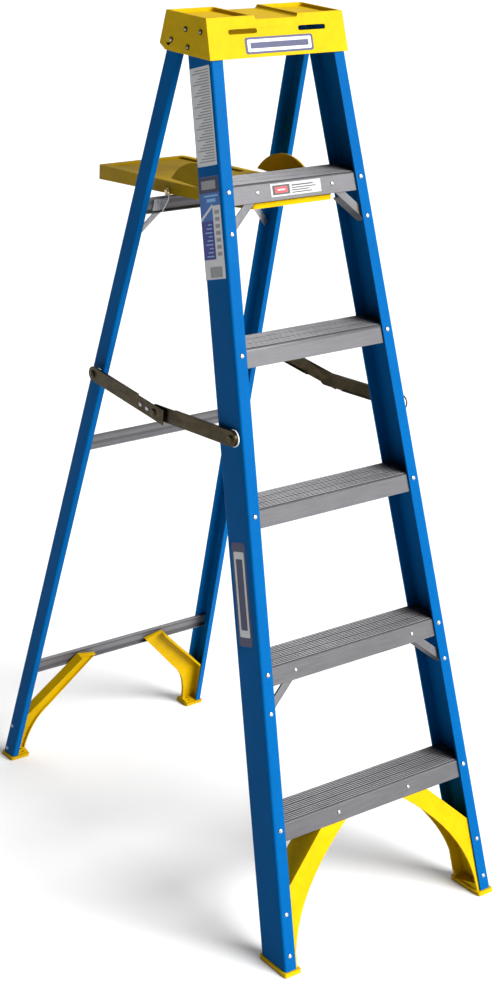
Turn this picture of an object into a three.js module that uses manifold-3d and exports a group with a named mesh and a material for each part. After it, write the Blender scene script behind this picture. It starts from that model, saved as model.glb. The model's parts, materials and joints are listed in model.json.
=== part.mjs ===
// Fibreglass step ladder: a plastic top cap, five aluminium steps, a hinged rear frame,
// two folding spreaders and a folding pail shelf. Units are millimetres and +Z is up.
// The steps face -Y, and the origin is on the floor under the middle of the open ladder.
import * as THREE from "three";
import { mergeVertices } from "three/addons/utils/BufferGeometryUtils.js";
import Module from "manifold-3d";

const wasm = await Module();
wasm.setup();

// ---- driving dimensions ----
const GAP = 0.3; // between pieces that touch
const REFERENCE_HEIGHT = 1720; // where the rails' upper half-widths are stated

// Front section: rails lean back, and flare outwards towards the floor.
const FRONT_LEAN = THREE.MathUtils.degToRad(16.7);
const FRONT_BASE_Y = -530.7; // the front rails' front face at the floor
const FRONT_HALF_FLOOR = 276; // outer half-width at the floor
const FRONT_HALF_TOP = 159; // and at the reference height
const FRONT_RAIL = { depth: 75, front: 27, rear: 27, wall: 4, corner: 5 };
const FRONT_RAIL_TOP = 1738;

// Rear frame: rails lean forward.
const REAR_LEAN = THREE.MathUtils.degToRad(14);
const REAR_TOP_Y = 63.3; // the rear rails' front face at the reference height
const REAR_HALF_FLOOR = 270.5;
const REAR_HALF_TOP = 160.5;
const REAR_RAIL = { depth: 38, front: 14.5, rear: 29.5, wall: 3.5, corner: 4 };

// Level channels between the rear rails, with their backs on the rear flanges.
const BRACE = { height: 33, sheet: 2.4, lip: 7.5 };
const BRACE_BACK = REAR_RAIL.depth - REAR_RAIL.wall - GAP; // depth behind the rail's front
const REAR_BRACES = { bottom: 226, middle: 805, top: 1341 }; // heights of their lower edges

// The hinge of the rear frame, in the top cap.
const HINGE_Y = 93.3;
const HINGE_Z = 1697;
const HINGE_BOLT_RADIUS = 4.5;
const RAIL_END_ABOVE_HINGE = 18;

// Steps, level when the ladder is open.
const STEP_COUNT = 5;
const STEP_1_TOP = 283.7;
const STEP_PITCH = 304.8 * Math.cos(FRONT_LEAN);
const STEP_DEPTH = 76;
const STEP_FACE = 36.5;
const STEP_REAR_FACE = 24;
const STEP_SHEET = 3;
const STEP_FRONT = FRONT_RAIL.wall + GAP; // behind the rails' front face
const RIDGE = { height: 1, width: 2.6, pitch: 5.6, perGroup: 4, groups: 3 };
const STEP_SPAN = 60; // further along the rail, either way, than a step reaches
const STEP_RIVET_BELOW_TOP = 11;
const STEP_RIVET_INSET = 15.5; // from the web's outer face

const KNEE_SECTION = { half: 8, sheet: 2.4, flange: 24, end: 7 };
// Knee braces under the second and the fifth step: how far in from the web they reach, how far
// they drop, and where the upper one is cut back from the pail shelf.
const KNEE_BRACES = [
  { step: 2, reach: 88, drop: 65, notch: 0 },
  { step: 5, reach: 86, drop: 67, notch: 113 },
];

// Top cap.
const CAP = {
  bottomZ: 1675.5,
  topZ: 1750,
  halfBottom: 167.5,
  halfTop: 164.5,
  wall: 3.2,
  deck: 4,
  trayDepth: 7,
  ahead: 4.2, // of the rails' front faces
  rearBottomY: 112.3,
  rearWideY: 131.3,
  rearChamfer: 10.5,
  rearTopY: 116.3,
  rim: 6,
  tray: { fromMiddle: 60, corner: 8 },
  slot: { x0: 50, x1: 117, z0: 1718.5, z1: 1727.5, corner: 4 },
  trough: { half: 52, corner: 6 },
};

// Pail shelf, hinged on the top rear brace.
const SHELF = {
  frontY: -91.7,
  rearY: 418.1,
  slope: THREE.MathUtils.degToRad(3.3),
  pivotY: 165.7,
  pivotZ: 1386,
  topAbovePivot: 20,
  half: 110, // half-width of the tray
  halfLip: 98, // half-width at the front edge
  frontDepth: 19,
  rearDepth: 30,
  wall: 3.2,
  floorBelowTop: 7, // the top of the hollow underneath
  recess: { half: 92, depth: 4, fromPivot: 12, fromFront: 24, fromRear: 12, corner: 10 },
  guardReach: 0.93, // half of a guard's arc that stands above the shelf, in radians
  nose: { run: 14, rise: 9 }, // slope of the upper front edge
  guardCentreY: 66.3, // the side guards are segments of circles
  guardCentreZ: 1344.7,
  guardRadius: 114.9,
  guardWall: 4,
  lug: 7, // radius around the pins
};

// Spreaders: each has a front link on the front rail and a rear link on the rear rail.
const SPREADER = {
  frontY: -207.5,
  frontZ: 998,
  kneeY: 35.7,
  kneeZ: 980,
  rearY: 253.4,
  rearZ: 998.3,
  height: 31,
  sheet: 2,
  depth: 6,
  washer: 1.8,
  washerFace: 209.9, // distance from the middle plane to the washer's inner face
};

const SPREADER_PIN_RADIUS = 4;

const FLOOR_PAD = 8; // thickness of a foot under its rail
const FOOT_WALL = 3.4;
const FOOT_START = 30; // how far the feet's solids begin below the floor, before the cut there
const SOLE_MARGIN = 3.5; // of the soles around the rails
const FAR = 1000; // larger than any cut needs

// Outlines of the foot braces, as [distance in from the web's outer face, place along the rail].
const FRONT_FOOT = {
  ankle: [34, 40],
  bend: [48, 154],
  tip: 184, // where the arch meets the step
  slopeLow: [28, 170],
  slopeTop: 118,
  rearPlate: { ankle: [35, 90], bend: [48, 160], tip: 145 },
  sole: 37, // how far in its edge is
};
const REAR_FOOT = {
  ankle: [43, 20],
  bend: [47, 88],
  shin: [84, 122],
  tip: [185, 240],
  slopeTop: [137, 250],
  slopeLow: [17, 123],
  lip: 5,
  sole: 44,
  holes: [
    [15, 9],
    [31, 9],
    [15, 18],
    [31, 18],
  ],
};

// ---- finishes ----
const finish = (color, roughness, metalness) => () =>
  new THREE.MeshStandardMaterial({ color, roughness, metalness });
const blueFibreglass = finish(0x0a72c4, 0.42, 0);
const yellowPlastic = finish(0xf2d200, 0.45, 0);
const ribbedAluminium = finish(0x8c8c90, 0.45, 0.8);
const zincSteel = finish(0xc8ccd0, 0.35, 0.9);
const goldSteel = finish(0x5a4a22, 0.4, 0.9);
const whiteNylon = finish(0xe8e8e2, 0.5, 0);

// ---- solids ----

// A closed geometry as a solid with its faces pointing out.
function solid(geometry) {
  const plain = geometry.index ? geometry.toNonIndexed() : geometry.clone();
  plain.deleteAttribute("normal");
  plain.deleteAttribute("uv");
  const merged = mergeVertices(plain, 1e-4);
  const corners = [];
  for (let i = 0; i < merged.index.count; i += 3) {
    const [a, b, c] = [0, 1, 2].map((k) => merged.index.getX(i + k));
    if (a !== b && b !== c && c !== a) corners.push([a, b, c]);
  }
  const build = (faces) =>
    new wasm.Manifold(
      new wasm.Mesh({
        numProp: 3,
        vertProperties: merged.attributes.position.array,
        triVerts: new Uint32Array(faces.flat()),
      }),
    );
  const made = build(corners);
  return made.volume() < 0 ? build(corners.map(([a, b, c]) => [a, c, b])) : made;
}

function geometryOf(body) {
  const mesh = body.getMesh();
  const geometry = new THREE.BufferGeometry();
  geometry.setAttribute("position", new THREE.BufferAttribute(mesh.vertProperties, 3));
  geometry.setIndex(new THREE.BufferAttribute(mesh.triVerts, 1));
  geometry.computeVertexNormals();
  return geometry;
}

// An outline swept in a straight line: place(u, v, t) says where the outline's point (u, v)
// lies at the start (t = 0) and at the end (t = 1).
function sweep(outline, place, curveSegments = 6) {
  const geometry = new THREE.ExtrudeGeometry(outline, {
    depth: 1,
    bevelEnabled: false,
    curveSegments,
  });
  const at = geometry.attributes.position;
  for (let i = 0; i < at.count; i++)
    at.setXYZ(i, ...place(at.getX(i), at.getY(i), at.getZ(i)));
  return solid(geometry);
}

const polygon = (points) =>
  new THREE.Shape(points.map(([u, v]) => new THREE.Vector2(u, v)));

function roundedBox(u0, v0, u1, v1, r) {
  const shape = new THREE.Shape();
  shape.moveTo(u0 + r, v0);
  shape.lineTo(u1 - r, v0);
  shape.absarc(u1 - r, v0 + r, r, -Math.PI / 2, 0);
  shape.lineTo(u1, v1 - r);
  shape.absarc(u1 - r, v1 - r, r, 0, Math.PI / 2);
  shape.lineTo(u0 + r, v1);
  shape.absarc(u0 + r, v1 - r, r, Math.PI / 2, Math.PI);
  shape.lineTo(u0, v0 + r);
  shape.absarc(u0 + r, v0 + r, r, Math.PI, 1.5 * Math.PI);
  return shape;
}

const box = (x0, y0, z0, x1, y1, z1) =>
  solid(
    new THREE.BoxGeometry(x1 - x0, y1 - y0, z1 - z0).translate(
      (x0 + x1) / 2,
      (y0 + y1) / 2,
      (z0 + z1) / 2,
    ),
  );

// A cylinder from one point to another.
function rod(from, to, radius, sides = 16) {
  const a = new THREE.Vector3(...from);
  const along = new THREE.Vector3(...to).sub(a);
  const turn = new THREE.Quaternion().setFromUnitVectors(
    new THREE.Vector3(0, 1, 0),
    along.clone().normalize(),
  );
  const geometry = new THREE.CylinderGeometry(radius, radius, along.length(), sides);
  geometry.applyQuaternion(turn);
  geometry.translate(...a.addScaledVector(along, 0.5).toArray());
  return solid(geometry);
}

// A rivet or pin along +Y: a domed head ends at 0, and a tail lies past the grip.
function rivet({ head, dome, shank, grip, tail = shank * 1.45, tailHeight = dome * 0.6 }) {
  const points = [new THREE.Vector2(0, -dome)];
  for (let k = 1; k < 4; k++) {
    const a = (k / 4) * (Math.PI / 2);
    points.push(new THREE.Vector2(head * Math.sin(a), -dome * Math.cos(a)));
  }
  points.push(new THREE.Vector2(head, 0));
  points.push(new THREE.Vector2(shank, 0));
  points.push(new THREE.Vector2(shank, grip));
  points.push(new THREE.Vector2(tail, grip));
  points.push(new THREE.Vector2(tail, grip + tailHeight));
  points.push(new THREE.Vector2(0, grip + tailHeight));
  return solid(new THREE.LatheGeometry(points, 12));
}

// ---- the rails' own coordinates: x across, depth behind the front face, s along the rail ----
const FRONT_COS = Math.cos(FRONT_LEAN);
const FRONT_SIN = Math.sin(FRONT_LEAN);
const REAR_COS = Math.cos(REAR_LEAN);
const REAR_SIN = Math.sin(REAR_LEAN);
const REAR_BASE_Y = REAR_TOP_Y + REFERENCE_HEIGHT * Math.tan(REAR_LEAN);

const lerp = THREE.MathUtils.lerp;
const frontHalf = (s) =>
  lerp(FRONT_HALF_FLOOR, FRONT_HALF_TOP, (s * FRONT_COS) / REFERENCE_HEIGHT);
const rearHalf = (s) =>
  lerp(REAR_HALF_FLOOR, REAR_HALF_TOP, (s * REAR_COS) / REFERENCE_HEIGHT);
// The place along a rail where its point at a given depth is z above the floor.
const frontS = (z, depth) => (z + depth * FRONT_SIN) / FRONT_COS;
const rearS = (z, depth) => (z - depth * REAR_SIN) / REAR_COS;
// The same for a point given by y and z.
const rearDepthOf = (y, z) => (y - REAR_BASE_Y) * REAR_COS + z * REAR_SIN;
const rearSOf = (y, z) => z * REAR_COS - (y - REAR_BASE_Y) * REAR_SIN;

const frontSection = new THREE.Group();
frontSection.name = "front_section";
const frontRailSpace = new THREE.Group();
frontRailSpace.position.y = FRONT_BASE_Y;
frontRailSpace.rotation.x = -FRONT_LEAN;
frontSection.add(frontRailSpace);

const rearFrame = new THREE.Group();
rearFrame.name = "rear_frame";
const rearRailSpace = new THREE.Group();
rearRailSpace.position.y = REAR_BASE_Y;
rearRailSpace.rotation.x = REAR_LEAN;
rearFrame.add(rearRailSpace);

const ladder = new THREE.Group();
ladder.name = "step_ladder";
ladder.add(frontSection, rearFrame);

function addPiece(group, name, body, material) {
  const mesh = new THREE.Mesh(geometryOf(body), material());
  mesh.name = name;
  group.add(mesh);
  return mesh;
}

// A piece modelled on the +X side, and its mirror image.
function addPair(group, name, body, material) {
  addPiece(group, `${name}_right`, body, material);
  addPiece(group, `${name}_left`, body, material).scale.x = -1;
}

// ---- rails ----

// A cutter for a hole across a rail's web.
const webHole = (halfAt, depth, s, radius, sides) =>
  rod([halfAt(s) - 25, depth, s], [halfAt(s) + 25, depth, s], radius, sides);

function channelOutline({ depth, front, rear, wall, corner }) {
  const inner = 0.4; // a small chamfer in the inner corners
  const shape = new THREE.Shape();
  shape.moveTo(corner, 0);
  shape.lineTo(front, 0);
  shape.lineTo(front, wall);
  shape.lineTo(wall + inner, wall);
  shape.lineTo(wall, wall + inner);
  shape.lineTo(wall, depth - wall - inner);
  shape.lineTo(wall + inner, depth - wall);
  shape.lineTo(rear, depth - wall);
  shape.lineTo(rear, depth);
  shape.lineTo(corner, depth);
  shape.absarc(corner, depth - corner, corner, Math.PI / 2, Math.PI);
  shape.lineTo(0, corner);
  shape.absarc(corner, corner, corner, Math.PI, 1.5 * Math.PI);
  return shape;
}

const frontPlace = (sLow, sHigh) => (u, depth, t) => {
  const s = lerp(sLow(depth), sHigh(depth), t);
  return [frontHalf(s) - u, depth, s];
};
const rearPlace = (sLow, sHigh) => (u, depth, t) => {
  const s = lerp(sLow(depth), sHigh(depth), t);
  return [rearHalf(s) - u, depth, s];
};

const stepRivetS = (k) =>
  frontS(STEP_1_TOP + (k - 1) * STEP_PITCH, STEP_FRONT) - STEP_RIVET_BELOW_TOP;
const STEP_RIVET = { head: 5, dome: 2.6, shank: 3 };
const STEP_RIVET_HOLE = STEP_RIVET.shank + 0.4;

const stepRivetHole = (k) => {
  const s = stepRivetS(k);
  const x = frontHalf(s) - STEP_RIVET_INSET;
  return rod([x, -2, s], [x, 12, s], STEP_RIVET_HOLE, 12);
};

// Where the cap's bolts go through the rails, as (y, z).
const CAP_BOLTS = [
  [2.7, 1723],
  [49.7, 1722],
  [39.7, 1690],
];
const CAP_BOLT = { head: 5.2, dome: 2.4, shank: 3.2 };

const frontDepthOf = (y, z) => (y - FRONT_BASE_Y) * FRONT_COS - z * FRONT_SIN;
const frontSOf = (y, z) => z * FRONT_COS + (y - FRONT_BASE_Y) * FRONT_SIN;

function frontRail() {
  let rail = sweep(
    channelOutline(FRONT_RAIL),
    frontPlace(
      (depth) => frontS(FLOOR_PAD + GAP, depth),
      (depth) => frontS(FRONT_RAIL_TOP, depth),
    ),
    4,
  );
  for (let k = 1; k <= STEP_COUNT; k++) rail = rail.subtract(stepRivetHole(k));
  for (const [y, z] of CAP_BOLTS)
    rail = rail.subtract(
      webHole(frontHalf, frontDepthOf(y, z), frontSOf(y, z), CAP_BOLT.shank + GAP, 12),
    );
  const { frontY: y, frontZ: z } = SPREADER;
  return rail.subtract(
    webHole(frontHalf, frontDepthOf(y, z), frontSOf(y, z), SPREADER_PIN_RADIUS + 0.4, 12),
  );
}
addPair(frontRailSpace, "front_rail", frontRail(), blueFibreglass);

const HINGE_DEPTH = rearDepthOf(HINGE_Y, HINGE_Z);
const HINGE_S = rearSOf(HINGE_Y, HINGE_Z);

function rearRail() {
  const end = HINGE_S + RAIL_END_ABOVE_HINGE;
  let rail = sweep(
    channelOutline(REAR_RAIL),
    rearPlace(
      (depth) => rearS(FLOOR_PAD + GAP, depth),
      () => end,
    ),
    4,
  );
  rail = rail.subtract(webHole(rearHalf, HINGE_DEPTH, HINGE_S, HINGE_BOLT_RADIUS + GAP, 24));
  const { rearY: y, rearZ: z } = SPREADER;
  return rail.subtract(
    webHole(rearHalf, rearDepthOf(y, z), rearSOf(y, z), SPREADER_PIN_RADIUS + 0.4, 12),
  );
}
addPair(rearRailSpace, "rear_rail", rearRail(), blueFibreglass);

// ---- steps ----

// The outside of a step, from its front lower edge over the tread, as (depth, s) from its front
// upper corner. The tread is level, so it rises along the leaning rail.
function stepProfile() {
  const tread = (along, up) => [
    along * FRONT_COS - up * FRONT_SIN,
    along * FRONT_SIN + up * FRONT_COS,
  ];
  const points = [[0, -STEP_FACE], [0, -3], tread(1, -1), tread(3, 0)];
  const groupWidth = (RIDGE.perGroup - 1) * RIDGE.pitch + RIDGE.width;
  const space = (STEP_DEPTH - RIDGE.groups * groupWidth) / (RIDGE.groups + 1);
  for (let g = 0; g < RIDGE.groups; g++) {
    for (let k = 0; k < RIDGE.perGroup; k++) {
      const start = space + g * (groupWidth + space) + k * RIDGE.pitch;
      points.push(tread(start, 0));
      points.push(tread(start + 0.5, RIDGE.height));
      points.push(tread(start + RIDGE.width - 0.5, RIDGE.height));
      points.push(tread(start + RIDGE.width, 0));
    }
  }
  points.push(tread(STEP_DEPTH - 3, 0), tread(STEP_DEPTH - 1, -1));
  const [rearDepth, rearS0] = tread(STEP_DEPTH, -3);
  points.push([rearDepth, rearS0], [rearDepth, rearS0 - STEP_REAR_FACE]);
  points.push([rearDepth - STEP_SHEET, rearS0 - STEP_REAR_FACE]);
  const [innerRear, innerRearS] = tread(STEP_DEPTH - STEP_SHEET, -STEP_SHEET);
  points.push([rearDepth - STEP_SHEET, innerRearS - 1], [innerRear - 2, innerRearS - 0.6]);
  points.push(tread(STEP_SHEET + 1, -STEP_SHEET - 0.4), [STEP_SHEET, -STEP_SHEET - 1.5]);
  points.push([STEP_SHEET, -STEP_FACE]);
  return points;
}

function step(k) {
  const s0 = frontS(STEP_1_TOP + (k - 1) * STEP_PITCH, STEP_FRONT);
  const low = s0 - STEP_SPAN;
  const high = s0 + STEP_SPAN;
  const half = frontHalf(low);
  let body = sweep(polygon(stepProfile()), (depth, s, t) => [
    lerp(-half, half, t),
    STEP_FRONT + depth,
    s0 + s,
  ]);
  // Clear of the webs at both ends, and of the rails' rear flanges.
  const along = frontPlace(
    () => low,
    () => high,
  );
  const wall = FRONT_RAIL.wall + GAP;
  const inner = FRONT_RAIL.depth - FRONT_RAIL.wall - GAP;
  const outside = polygon([
    [-60, -20],
    [wall, -20],
    [wall, inner],
    [FRONT_RAIL.rear + 1, inner],
    [FRONT_RAIL.rear + 1, 120],
    [-60, 120],
  ]);
  const right = sweep(outside, along);
  const left = right.mirror([1, 0, 0]);
  body = body.subtract(right).subtract(left);
  const hole = stepRivetHole(k);
  return body.subtract(hole).subtract(hole.mirror([1, 0, 0]));
}

for (let k = 1; k <= STEP_COUNT; k++) {
  addPiece(frontRailSpace, `step_${k}`, step(k), ribbedAluminium);
  const s = stepRivetS(k);
  for (const [side, sign] of [
    ["right", 1],
    ["left", -1],
  ]) {
    const grip = STEP_FRONT + STEP_SHEET + 2 * GAP;
    const pin = addPiece(
      frontRailSpace,
      `step_${k}_rivet_${side}`,
      rivet({ ...STEP_RIVET, grip }),
      zincSteel,
    );
    pin.position.set(sign * (frontHalf(s) - STEP_RIVET_INSET), -GAP, s);
  }
}

// ---- knee braces: an angle from the step's front face down to the rail's front flange ----
function kneeBrace({ step: k, reach, drop, notch }) {
  const top = stepRivetS(k) - 8;
  const low = top - drop;
  const x0 = frontHalf(top) - reach;
  const x1 = frontHalf(low) - STEP_RIVET_INSET;
  const length = Math.hypot(x1 - x0, drop);
  const along = [(x1 - x0) / length, -drop / length];
  const across = [along[1], -along[0]]; // towards the middle and down
  const front = STEP_FRONT + STEP_SHEET + GAP;
  const { half, sheet, flange, end } = KNEE_SECTION;
  const angle = polygon([
    [-half, front],
    [half, front],
    [half, front + flange],
    [half - sheet, front + flange],
    [half - sheet, front + sheet],
    [-half, front + sheet],
  ]);
  const run = (from, to) => (v, depth, t) => {
    const a = lerp(from, to, t);
    return [x0 + along[0] * a + across[0] * v, depth, top + along[1] * a + across[1] * v];
  };
  const strap = sweep(angle, run(1 - end, length + end));
  const pad = roundedBox(-end, FRONT_RAIL.wall + GAP, end, front + sheet, 0.5);
  const brace = strap.add(sweep(pad, run(length - end, length + end)));
  if (!notch) return brace;
  return brace.subtract(box(0, front + sheet, top - 36, notch, front + 40, top + 40));
}
for (const brace of KNEE_BRACES) {
  const body = kneeBrace(brace);
  addPair(frontRailSpace, `step_${brace.step}_knee_brace`, body, ribbedAluminium);
}

// ---- feet: a sole under the rail, a boot in its channel and an arched brace ----
function floorCut(lean) {
  const below = solid(new THREE.BoxGeometry(FAR, FAR, FAR).translate(0, 0, -FAR / 2));
  return solid(geometryOf(below).applyMatrix4(new THREE.Matrix4().makeRotationX(lean)));
}

// A front and a rear plate with a rim between them, along the web and the upper slope. The side
// towards the middle is open.
function frontFootBrace() {
  const { ankle, bend, tip, slopeLow, slopeTop, rearPlate } = FRONT_FOOT;
  const web = FRONT_RAIL.wall + GAP;
  const topS = frontS(STEP_1_TOP, STEP_FRONT) - STEP_FACE - GAP;
  const front = FRONT_RAIL.wall + GAP;
  const rear = FRONT_RAIL.depth - FRONT_RAIL.wall - GAP;
  const place = (d0, d1) => (u, s, t) => [frontHalf(s) - u, lerp(d0, d1, t), s];

  const outline = new THREE.Shape();
  outline.moveTo(web, -FOOT_START);
  outline.lineTo(ankle[0] - 3, -FOOT_START);
  outline.lineTo(...ankle);
  outline.quadraticCurveTo(...bend, tip, topS);
  outline.lineTo(slopeTop, topS);
  outline.lineTo(...slopeLow);
  outline.lineTo(web, slopeLow[1] - 12);
  const shell = sweep(outline, place(front, rear), 10);

  const floorS = frontS(FLOOR_PAD + 6, FRONT_RAIL.depth / 2);
  const hollow = polygon([
    [web + FOOT_WALL, floorS],
    [web + FOOT_WALL, slopeLow[1] - 12 - FOOT_WALL],
    [slopeLow[0] + FOOT_WALL * 0.6, slopeLow[1] - FOOT_WALL * 1.3],
    [slopeTop + FOOT_WALL * 1.3, topS + 1],
    [tip + 20, topS + 1],
    [tip + 20, floorS],
  ]);
  const pocket = sweep(hollow, place(front + FOOT_WALL, rear - FOOT_WALL));

  // The rear plate is narrower than the front one.
  const beyond = new THREE.Shape();
  beyond.moveTo(rearPlate.ankle[0], -2 * FOOT_START);
  beyond.lineTo(...rearPlate.ankle);
  beyond.quadraticCurveTo(...rearPlate.bend, rearPlate.tip, topS + 1);
  beyond.lineTo(tip + 20, topS + 1);
  beyond.lineTo(tip + 20, -2 * FOOT_START);
  const trim = sweep(beyond, place(FRONT_RAIL.depth / 2, rear + 1), 10);

  const sole = sweep(
    roundedBox(-SOLE_MARGIN, -SOLE_MARGIN, FRONT_FOOT.sole, FRONT_RAIL.depth + SOLE_MARGIN, 4),
    frontPlace(
      (depth) => frontS(0, depth),
      (depth) => frontS(FLOOR_PAD, depth),
    ),
    3,
  );
  return shell.subtract(pocket).subtract(trim).subtract(floorCut(FRONT_LEAN)).add(sole);
}
addPair(frontRailSpace, "front_foot_brace", frontFootBrace(), yellowPlastic);

// A plate in front of the bottom rear brace, with a rim that faces forward along the web and the
// upper slope, and a low lip round the rest.
function rearFootBrace() {
  const { ankle, bend, shin, tip, slopeTop, slopeLow, lip } = REAR_FOOT;
  const web = REAR_RAIL.wall + GAP;
  const front = REAR_RAIL.wall + GAP;
  const rear = BRACE_BACK - BRACE.lip - GAP;
  const floorS = rearS(FLOOR_PAD + 1, 0);
  const place = (d0, d1) => (u, s, t) => [rearHalf(s) - u, lerp(d0, d1, t), s];

  const outline = (inset, low) => {
    const shape = new THREE.Shape();
    shape.moveTo(web + inset, low);
    shape.lineTo(ankle[0] - inset, low);
    shape.lineTo(ankle[0] - inset, ankle[1]);
    shape.quadraticCurveTo(bend[0] - inset, bend[1], shin[0] - inset, shin[1] + inset / 2);
    shape.lineTo(tip[0] - inset, tip[1] - inset);
    shape.lineTo(slopeTop[0] + inset, slopeTop[1] - inset);
    shape.lineTo(slopeLow[0] + inset * 0.4, slopeLow[1] - inset * 1.4);
    shape.lineTo(web + inset, slopeLow[1] - 12 - inset);
    return shape;
  };
  const shell = sweep(outline(0, -FOOT_START), place(front, rear), 8);
  const plateFace = rear - FOOT_WALL;
  const floorPocket = sweep(outline(FOOT_WALL, floorS), place(plateFace - lip, plateFace), 8);
  const hollow = polygon([
    [web + FOOT_WALL, floorS],
    [web + FOOT_WALL, slopeLow[1] - 12 - FOOT_WALL],
    [slopeLow[0] + FOOT_WALL * 0.4, slopeLow[1] - FOOT_WALL * 1.4],
    [slopeTop[0] + FOOT_WALL, slopeTop[1] - FOOT_WALL],
    [slopeTop[0] + FOOT_WALL, slopeTop[1] + 20],
    [tip[0] + 20, tip[1] + 20],
    [tip[0] + 20, floorS],
  ]);
  const pocket = sweep(hollow, place(front - 1, plateFace - lip + 0.01));

  let sole = sweep(
    roundedBox(-SOLE_MARGIN, -SOLE_MARGIN, REAR_FOOT.sole, REAR_RAIL.depth + 3, 4),
    rearPlace(
      (depth) => rearS(0, depth),
      (depth) => rearS(FLOOR_PAD, depth),
    ),
    3,
  );
  sole = shell.subtract(pocket).subtract(floorPocket).subtract(floorCut(-REAR_LEAN)).add(sole);
  // Blind holes in the sole.
  for (const [u, depth] of REAR_FOOT.holes) {
    const x = rearHalf(floorS) - u;
    sole = sole.subtract(rod([x, depth, floorS - 5], [x, depth, floorS + 20], 2.6, 10));
  }
  return sole;
}
addPair(rearRailSpace, "rear_foot_brace", rearFootBrace(), yellowPlastic);

// ---- rear braces: level channels against the rear flanges ----
function rearBrace(bottomZ) {
  const s0 = rearS(bottomZ, BRACE_BACK);
  const half = rearHalf(s0);
  const { height, sheet, lip } = BRACE;
  const outline = polygon([
    [0, 0],
    [0, height],
    [-lip, height],
    [-lip, height - sheet],
    [-sheet, height - sheet],
    [-sheet, sheet],
    [-lip, sheet],
    [-lip, 0],
  ]);
  const body = sweep(outline, (depth, s, t) => [
    lerp(-half, half, t),
    BRACE_BACK + depth,
    s0 + s,
  ]);
  const web = REAR_RAIL.wall + GAP;
  const outside = sweep(
    polygon([
      [-40, 0],
      [web, 0],
      [web, 60],
      [-40, 60],
    ]),
    rearPlace(
      () => s0 - 20,
      () => s0 + 60,
    ),
  );
  return body.subtract(outside).subtract(outside.mirror([1, 0, 0]));
}
for (const [name, z] of Object.entries(REAR_BRACES))
  addPiece(rearRailSpace, `rear_brace_${name}`, rearBrace(z), ribbedAluminium);

// Straps from the top rear brace down to the rear flanges.
function rearKneeStrap() {
  const topS = rearS(REAR_BRACES.top, BRACE_BACK) + 12;
  const low = topS - 68;
  const x0 = 108;
  const x1 = rearHalf(low) - 18;
  const length = Math.hypot(x1 - x0, topS - low);
  const along = [(x1 - x0) / length, (low - topS) / length];
  const across = [along[1], -along[0]];
  const back = BRACE_BACK - BRACE.sheet - GAP;
  const run = (from, to) => (v, depth, t) => {
    const a = lerp(from, to, t);
    return [x0 + along[0] * a + across[0] * v, depth, topS + along[1] * a + across[1] * v];
  };
  const half = 6.5;
  const sheet = 2.2;
  const strap = sweep(roundedBox(-half, back - sheet, half, back, 0.6), run(10, length + half), 2);
  const pad = roundedBox(-half, back - sheet, half, BRACE_BACK, 0.6);
  const lowPad = sweep(pad, run(length - half, length + half), 2);
  // Its upper end is bent forward under the brace's lower lip.
  const lipS = rearS(REAR_BRACES.top, BRACE_BACK) - GAP;
  const foot = box(x0 + 6, BRACE_BACK - BRACE.lip, lipS - sheet, x0 + 26, back, lipS);
  const above = box(0, 0, lipS, 300, 60, lipS + 60);
  return strap.subtract(above).add(lowPad).add(foot);
}

// ---- top cap ----
const capHalf = (z) =>
  lerp(CAP.halfBottom, CAP.halfTop, (z - CAP.bottomZ) / (CAP.topZ - CAP.bottomZ));
function topCap() {
  const frontAt = (z) => FRONT_BASE_Y + z * Math.tan(FRONT_LEAN) - CAP.ahead;
  const profile = (inset, top) =>
    polygon([
      [frontAt(CAP.bottomZ - inset) + inset, CAP.bottomZ - inset],
      [CAP.rearBottomY, CAP.bottomZ - inset],
      [CAP.rearWideY - inset, CAP.bottomZ + CAP.rearChamfer],
      [CAP.rearTopY - inset, top],
      [frontAt(top) + inset, top],
    ]);
  const across = (inset) => (y, z, t) => [lerp(-1, 1, t) * (capHalf(z) - inset), y, z];
  const outer = sweep(profile(0, CAP.topZ), across(0));
  const deckBottom = CAP.topZ - CAP.trayDepth - CAP.deck;
  const inner = sweep(profile(CAP.wall, deckBottom), across(CAP.wall));
  let cap = outer.subtract(inner);
  const floor = CAP.topZ - CAP.trayDepth;
  const { rim, tray, slot, trough } = CAP;
  const frontRim = frontAt(CAP.topZ) + rim;
  const rearRim = CAP.rearTopY - rim;
  for (const sign of [1, -1]) {
    const recess = sweep(
      roundedBox(tray.fromMiddle, frontRim, CAP.halfTop - rim, rearRim, tray.corner),
      (x, y, t) => [x * sign, y, lerp(floor, CAP.topZ + 5, t)],
      4,
    );
    const opening = sweep(
      roundedBox(slot.x0, slot.z0, slot.x1, slot.z1, slot.corner),
      (x, z, t) => [x * sign, lerp(frontAt(z) - 4, frontAt(z) + CAP.wall + 3, t), z],
      3,
    );
    cap = cap.subtract(recess).subtract(opening);
    const bore = (y, z, radius, sides) =>
      rod([sign * (CAP.halfTop - 15), y, z], [sign * (CAP.halfTop + 15), y, z], radius, sides);
    for (const [y, z] of CAP_BOLTS) cap = cap.subtract(bore(y, z, CAP_BOLT.shank + GAP, 12));
    cap = cap.subtract(bore(HINGE_Y, HINGE_Z, HINGE_BOLT_RADIUS + GAP, 24));
  }
  // A trough across the middle, open at the front and rear rims.
  const gutter = sweep(
    roundedBox(-trough.half, floor, trough.half, CAP.topZ + 40, trough.corner),
    (x, z, t) => [x, lerp(frontAt(CAP.topZ) - 8, CAP.rearWideY, t), z],
    4,
  );
  return cap.subtract(gutter);
}
addPiece(frontSection, "top_cap", topCap(), yellowPlastic);

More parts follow.
